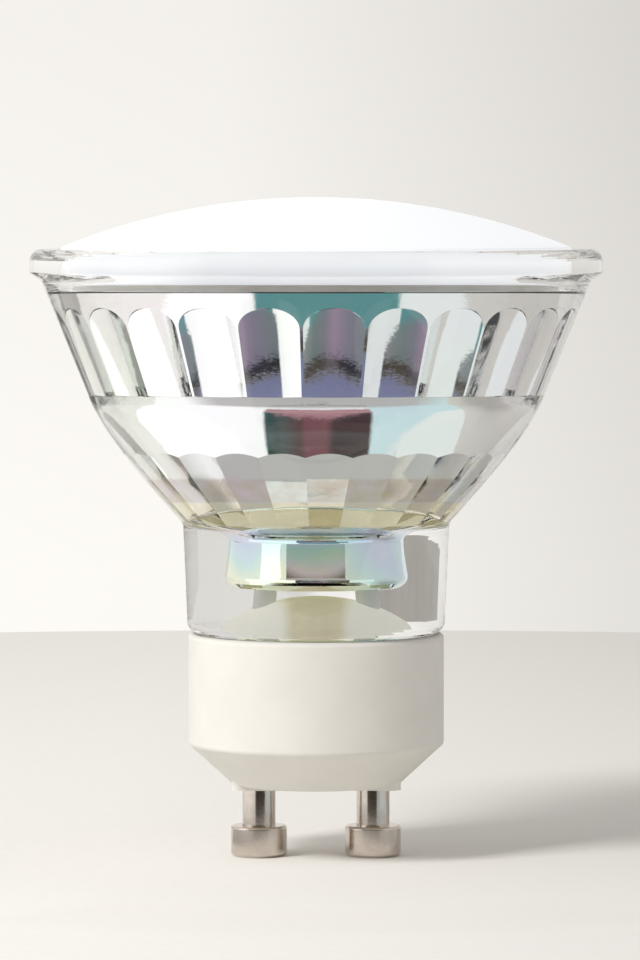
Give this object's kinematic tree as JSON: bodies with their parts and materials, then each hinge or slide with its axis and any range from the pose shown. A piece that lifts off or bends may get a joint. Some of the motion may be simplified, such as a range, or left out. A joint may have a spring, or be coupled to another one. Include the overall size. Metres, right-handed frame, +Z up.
{
  "type": "gu10 spotlight bulb",
  "caption": "Spotlight bulb with a fluted, mirror-coated glass reflector, a domed white diffuser and a white cap with headed contact pins.",
  "frame": {"origin": "on the surface that the pin heads stand on, midway between the two pins", "axes": "+Z up the lamp's axis to the dome, +X from the left pin to the right pin"},
  "size_m": [0.05, 0.05, 0.0577],
  "materials": {
    "reflector_glass": "clear pressed glass, gloss, with a multilayer mirror coating on its inner face",
    "diffuser": "opal white, smooth, lit from inside",
    "cap_body": "warm white, matt",
    "contact_metal": "nickel plated, turned, gloss",
    "cement": "cream cement, smooth",
    "led_board_metal": "satin, white lacquer on top",
    "diode_package": "white package with a yellow window",
    "circuit_board": "green lacquer",
    "capacitor_sleeve": "black sleeve",
    "ferrite": "dark grey ferrite",
    "winding": "lacquered copper wire",
    "film_case": "ochre resin",
    "chip_package": "black moulding compound",
    "resistor_body": "pale blue lacquer",
    "lead_sleeve": "white sleeve"
  },
  "bodies": {
    "root": {"base_cap": "cap_body", "bridge_rectifier": "chip_package", "cement_plug": "cement", "cement_ring": "cement", "choke_core": "ferrite", "choke_winding": "winding", "contact_pin_left": "contact_metal", "contact_pin_right": "contact_metal", "diffuser_dome": "diffuser", "driver_board": "circuit_board", "driver_chip": "chip_package", "electrolytic_capacitor": "capacitor_sleeve", "film_capacitor": "film_case", "fusible_resistor": "resistor_body", "glass_reflector": "reflector_glass", "led_1": "diode_package", "led_2": "diode_package", "led_3": "diode_package", "led_4": "diode_package", "led_5": "diode_package", "led_6": "diode_package", "led_7": "diode_package", "led_8": "diode_package", "led_board": "led_board_metal", "mains_lead_left": "lead_sleeve", "mains_lead_right": "lead_sleeve"}
  },
  "joints": []
}
